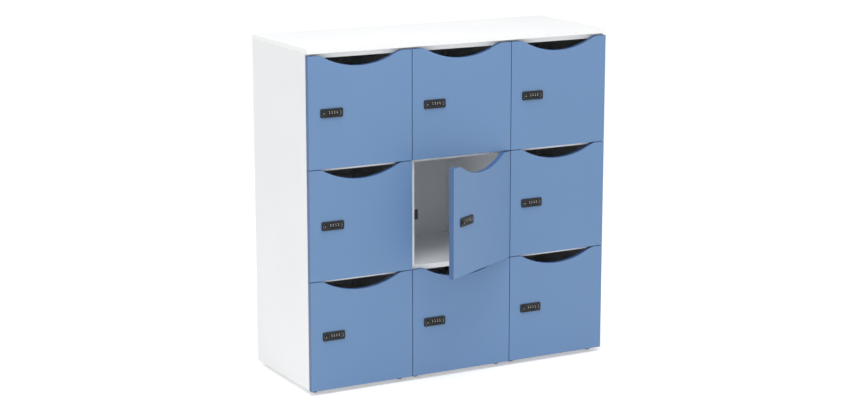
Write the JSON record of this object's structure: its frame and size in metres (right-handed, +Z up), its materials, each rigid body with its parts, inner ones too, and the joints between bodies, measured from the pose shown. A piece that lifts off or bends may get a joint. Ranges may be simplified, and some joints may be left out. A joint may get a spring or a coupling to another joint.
{
  "type": "locker cabinet with combination locks",
  "caption": "Free-standing cabinet of pigeonhole lockers: white carcass, blue doors with a wave-shaped letter slot and a combination lock each.",
  "frame": {"origin": "on the floor, under the middle of the bounding box at rest, with the middle door ajar; the closed doors' front is 0.129 m in front of it and the side panels' rear edges are 0.328 m behind it", "axes": "+X to the right seen from the front, -Y out of the doors, +Y towards the back panels, +Z up"},
  "size_m": [1.2, 0.6562, 1.217],
  "materials": {
    "white_board": "white melamine-faced chipboard with ABS edging",
    "blue_board": "light blue melamine-faced chipboard with matching ABS edging",
    "hinge_steel": "nickel-plated steel",
    "fixing_steel": "zinc-plated steel",
    "strike_grey": "dark grey coated steel",
    "lock_black": "satin black plastic",
    "knob_black": "satin black plastic with a white mark",
    "dial_black": "black plastic with white digits",
    "foot_black": "black moulded plastic"
  },
  "bodies": {
    "root": {"top_panel": "white_board", "levelling_feet": "foot_black", "column_bolts": "fixing_steel", "top_screws": "fixing_steel", "hinge_arms": "hinge_steel", "lock_strikes": "strike_grey", "side_panel_left_left": "white_board", "side_panel_left_right": "white_board", "cross_boards_left": "white_board", "back_panel_left": "white_board", "side_panel_middle_left": "white_board", "side_panel_middle_right": "white_board", "cross_boards_middle": "white_board", "back_panel_middle": "white_board", "side_panel_right_left": "white_board", "side_panel_right_right": "white_board", "cross_boards_right": "white_board", "back_panel_right": "white_board"},
    "door_bottom_left": {"door_bottom_left": "blue_board", "hinge_cups_bottom_left": "hinge_steel", "lock_housing_bottom_left": "lock_black"},
    "knob_bottom_left": {"lock_knob_bottom_left": "knob_black"},
    "door_bottom_middle": {"door_bottom_middle": "blue_board", "hinge_cups_bottom_middle": "hinge_steel", "lock_housing_bottom_middle": "lock_black"},
    "knob_bottom_middle": {"lock_knob_bottom_middle": "knob_black"},
    "door_bottom_right": {"door_bottom_right": "blue_board", "hinge_cups_bottom_right": "hinge_steel", "lock_housing_bottom_right": "lock_black"},
    "knob_bottom_right": {"lock_knob_bottom_right": "knob_black"},
    "door_centre_left": {"door_centre_left": "blue_board", "hinge_cups_centre_left": "hinge_steel", "lock_housing_centre_left": "lock_black"},
    "knob_centre_left": {"lock_knob_centre_left": "knob_black"},
    "door_centre_middle": {"door_centre_middle": "blue_board", "hinge_cups_centre_middle": "hinge_steel", "lock_housing_centre_middle": "lock_black"},
    "knob_centre_middle": {"lock_knob_centre_middle": "knob_black"},
    "dial_1": {"lock_dial_1": "dial_black"},
    "dial_2": {"lock_dial_2": "dial_black"},
    "dial_3": {"lock_dial_3": "dial_black"},
    "dial_4": {"lock_dial_4": "dial_black"},
    "door_centre_right": {"door_centre_right": "blue_board", "hinge_cups_centre_right": "hinge_steel", "lock_housing_centre_right": "lock_black"},
    "knob_centre_right": {"lock_knob_centre_right": "knob_black"},
    "door_top_left": {"door_top_left": "blue_board", "hinge_cups_top_left": "hinge_steel", "lock_housing_top_left": "lock_black"},
    "knob_top_left": {"lock_knob_top_left": "knob_black"},
    "door_top_middle": {"door_top_middle": "blue_board", "hinge_cups_top_middle": "hinge_steel", "lock_housing_top_middle": "lock_black"},
    "knob_top_middle": {"lock_knob_top_middle": "knob_black"},
    "door_top_right": {"door_top_right": "blue_board", "hinge_cups_top_right": "hinge_steel", "lock_housing_top_right": "lock_black"},
    "knob_top_right": {"lock_knob_top_right": "knob_black"}
  },
  "joints": [
    {"name": "door_hinge_bottom_left", "type": "hinge", "parent": "root", "child": "door_bottom_left", "pos_m": [-0.201, -0.12925, 0.2105], "axis": [0, 0, 1], "range_deg": [0, 100]},
    {"name": "knob_turn_bottom_left", "type": "hinge", "parent": "door_bottom_left", "child": "knob_bottom_left", "pos_m": [-0.54, -0.12925, 0.208], "axis": [0, 1, 0], "range_deg": [0, 90]},
    {"name": "door_hinge_bottom_middle", "type": "hinge", "parent": "root", "child": "door_bottom_middle", "pos_m": [0.199, -0.12925, 0.2105], "axis": [0, 0, 1], "range_deg": [0, 100]},
    {"name": "knob_turn_bottom_middle", "type": "hinge", "parent": "door_bottom_middle", "child": "knob_bottom_middle", "pos_m": [-0.14, -0.12925, 0.208], "axis": [0, 1, 0], "range_deg": [0, 90]},
    {"name": "door_hinge_bottom_right", "type": "hinge", "parent": "root", "child": "door_bottom_right", "pos_m": [0.599, -0.12925, 0.2105], "axis": [0, 0, 1], "range_deg": [0, 100]},
    {"name": "knob_turn_bottom_right", "type": "hinge", "parent": "door_bottom_right", "child": "knob_bottom_right", "pos_m": [0.26, -0.12925, 0.208], "axis": [0, 1, 0], "range_deg": [0, 90]},
    {"name": "door_hinge_centre_left", "type": "hinge", "parent": "root", "child": "door_centre_left", "pos_m": [-0.201, -0.12925, 0.6035], "axis": [0, 0, 1], "range_deg": [0, 100]},
    {"name": "knob_turn_centre_left", "type": "hinge", "parent": "door_centre_left", "child": "knob_centre_left", "pos_m": [-0.54, -0.12925, 0.601], "axis": [0, 1, 0], "range_deg": [0, 90]},
    {"name": "door_hinge_centre_middle", "type": "hinge", "parent": "root", "child": "door_centre_middle", "pos_m": [0.199, -0.12925, 0.6035], "axis": [0, 0, 1], "range_deg": [-30, 70]},
    {"name": "knob_turn_centre_middle", "type": "hinge", "parent": "door_centre_middle", "child": "knob_centre_middle", "pos_m": [-0.09458, -0.29875, 0.601], "axis": [-0.5, 0.866, 0], "range_deg": [0, 90]},
    {"name": "dial_turn_1", "type": "hinge", "parent": "door_centre_middle", "child": "dial_1", "pos_m": [-0.07914, -0.2881, 0.601], "axis": [0.866, 0.5, 0], "continuous": true},
    {"name": "dial_turn_2", "type": "hinge", "parent": "door_centre_middle", "child": "dial_2", "pos_m": [-0.07091, -0.28335, 0.601], "axis": [0.866, 0.5, 0], "continuous": true},
    {"name": "dial_turn_3", "type": "hinge", "parent": "door_centre_middle", "child": "dial_3", "pos_m": [-0.06268, -0.2786, 0.601], "axis": [0.866, 0.5, 0], "continuous": true},
    {"name": "dial_turn_4", "type": "hinge", "parent": "door_centre_middle", "child": "dial_4", "pos_m": [-0.05446, -0.27385, 0.601], "axis": [0.866, 0.5, 0], "continuous": true},
    {"name": "door_hinge_centre_right", "type": "hinge", "parent": "root", "child": "door_centre_right", "pos_m": [0.599, -0.12925, 0.6035], "axis": [0, 0, 1], "range_deg": [0, 100]},
    {"name": "knob_turn_centre_right", "type": "hinge", "parent": "door_centre_right", "child": "knob_centre_right", "pos_m": [0.26, -0.12925, 0.601], "axis": [0, 1, 0], "range_deg": [0, 90]},
    {"name": "door_hinge_top_left", "type": "hinge", "parent": "root", "child": "door_top_left", "pos_m": [-0.201, -0.12925, 0.9965], "axis": [0, 0, 1], "range_deg": [0, 100]},
    {"name": "knob_turn_top_left", "type": "hinge", "parent": "door_top_left", "child": "knob_top_left", "pos_m": [-0.54, -0.12925, 0.994], "axis": [0, 1, 0], "range_deg": [0, 90]},
    {"name": "door_hinge_top_middle", "type": "hinge", "parent": "root", "child": "door_top_middle", "pos_m": [0.199, -0.12925, 0.9965], "axis": [0, 0, 1], "range_deg": [0, 100]},
    {"name": "knob_turn_top_middle", "type": "hinge", "parent": "door_top_middle", "child": "knob_top_middle", "pos_m": [-0.14, -0.12925, 0.994], "axis": [0, 1, 0], "range_deg": [0, 90]},
    {"name": "door_hinge_top_right", "type": "hinge", "parent": "root", "child": "door_top_right", "pos_m": [0.599, -0.12925, 0.9965], "axis": [0, 0, 1], "range_deg": [0, 100]},
    {"name": "knob_turn_top_right", "type": "hinge", "parent": "door_top_right", "child": "knob_top_right", "pos_m": [0.26, -0.12925, 0.994], "axis": [0, 1, 0], "range_deg": [0, 90]}
  ]
}
